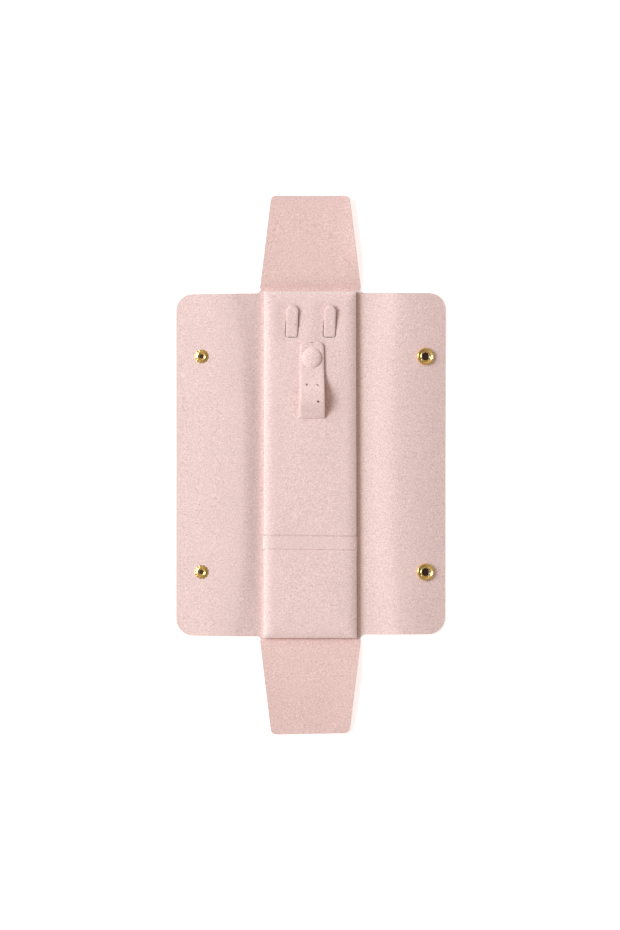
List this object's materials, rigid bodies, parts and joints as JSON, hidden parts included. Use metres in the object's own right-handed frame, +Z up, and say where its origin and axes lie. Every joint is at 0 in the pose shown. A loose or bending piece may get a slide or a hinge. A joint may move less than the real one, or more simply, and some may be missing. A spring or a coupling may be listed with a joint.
{
  "type": "jewelry roll",
  "caption": "Fold-up microsuede jewelry roll with a padded display board, chain hook tabs, a snap strap, a retaining band and brass press studs",
  "frame": {"origin": "on the table under the middle of the padded board, with the roll lying open", "axes": "+X to the right across the flaps, +Y up the roll towards the hook tabs, +Z up off the table"},
  "size_m": [0.1864, 0.3718, 0.0093],
  "materials": {
    "suede": "pale pink microsuede, brushed nap",
    "brass": "polished, lightly lacquered",
    "steel": "plain, nickel plated",
    "greyboard": "pressed grey paperboard",
    "foam": "open-cell foam sheet",
    "adhesive": "double-sided film"
  },
  "bodies": {
    "base": {"back_panel": "suede", "pad_adhesive": "adhesive", "pad_board": "greyboard", "pad_foam": "foam", "pad_cover": "suede", "retaining_band": "suede", "strap_back_leg": "suede", "strap_stud": "brass", "strap_rivet_plate": "steel"},
    "left_spine": {"left_spine": "suede"},
    "left_flap": {"left_flap": "suede", "upper_eyelet": "brass", "lower_eyelet": "brass", "upper_stud": "brass", "lower_stud": "brass"},
    "right_spine": {"right_spine": "suede"},
    "right_flap": {"right_flap": "suede", "upper_socket": "brass", "lower_socket": "brass", "upper_spring": "steel", "lower_spring": "steel", "upper_cap": "brass", "lower_cap": "brass"},
    "top_spine": {"top_spine": "suede"},
    "top_flap": {"top_flap": "suede"},
    "bottom_spine": {"bottom_spine": "suede"},
    "bottom_flap": {"bottom_flap": "suede"},
    "left_tab": {"left_hook_tab": "suede"},
    "right_tab": {"right_hook_tab": "suede"},
    "strap_front": {"strap_front_leg": "suede", "button_cover": "suede", "button_shell": "steel", "strap_socket": "brass"}
  },
  "joints": [
    {"name": "left_spine_fold", "type": "hinge", "parent": "base", "child": "left_spine", "pos_m": [-0.0332, 0, 0.0004], "axis": [0, 1, 0], "range_deg": [0, 66]},
    {"name": "left_flap_fold", "type": "hinge", "parent": "left_spine", "child": "left_flap", "pos_m": [-0.04256, 0, 0.00457], "axis": [0, 1, 0], "range_deg": [0, 117.2]},
    {"name": "right_spine_fold", "type": "hinge", "parent": "base", "child": "right_spine", "pos_m": [0.0332, 0, 0.0004], "axis": [0, -1, 0], "range_deg": [0, 62]},
    {"name": "right_flap_fold", "type": "hinge", "parent": "right_spine", "child": "right_flap", "pos_m": [0.04516, 0, 0.00676], "axis": [0, -1, 0], "range_deg": [0, 125.4]},
    {"name": "top_spine_fold", "type": "hinge", "parent": "base", "child": "top_spine", "pos_m": [0, 0.1212, 0.0004], "axis": [1, 0, 0], "range_deg": [0, 72]},
    {"name": "top_flap_fold", "type": "hinge", "parent": "top_spine", "child": "top_flap", "pos_m": [0, 0.12952, 0.0031], "axis": [1, 0, 0], "range_deg": [0, 106.9]},
    {"name": "bottom_spine_fold", "type": "hinge", "parent": "base", "child": "bottom_spine", "pos_m": [0, -0.1212, 0.0004], "axis": [-1, 0, 0], "range_deg": [0, 72]},
    {"name": "bottom_flap_fold", "type": "hinge", "parent": "bottom_spine", "child": "bottom_flap", "pos_m": [0, -0.12952, 0.0031], "axis": [-1, 0, 0], "range_deg": [0, 110.2]},
    {"name": "left_tab_lift", "type": "hinge", "parent": "base", "child": "left_tab", "pos_m": [-0.0124, 0.08855, 0.0046], "axis": [-0.9986, 0.0523, 0], "range_deg": [-55, 0]},
    {"name": "right_tab_lift", "type": "hinge", "parent": "base", "child": "right_tab", "pos_m": [0.0124, 0.08855, 0.0046], "axis": [-0.9986, 0.0523, 0], "range_deg": [-55, 0]},
    {"name": "strap_open", "type": "hinge", "parent": "base", "child": "strap_front", "pos_m": [0.0012, 0.0317, 0.0063], "axis": [-1, 0, 0], "range_deg": [-150, 0]}
  ],
  "couplings": [
    {"joint": "left_flap_fold", "follows": "left_spine_fold", "ratio": 1.7756},
    {"joint": "right_flap_fold", "follows": "right_spine_fold", "ratio": 2.0222},
    {"joint": "top_flap_fold", "follows": "top_spine_fold", "ratio": 1.4845},
    {"joint": "bottom_flap_fold", "follows": "bottom_spine_fold", "ratio": 1.5297}
  ]
}
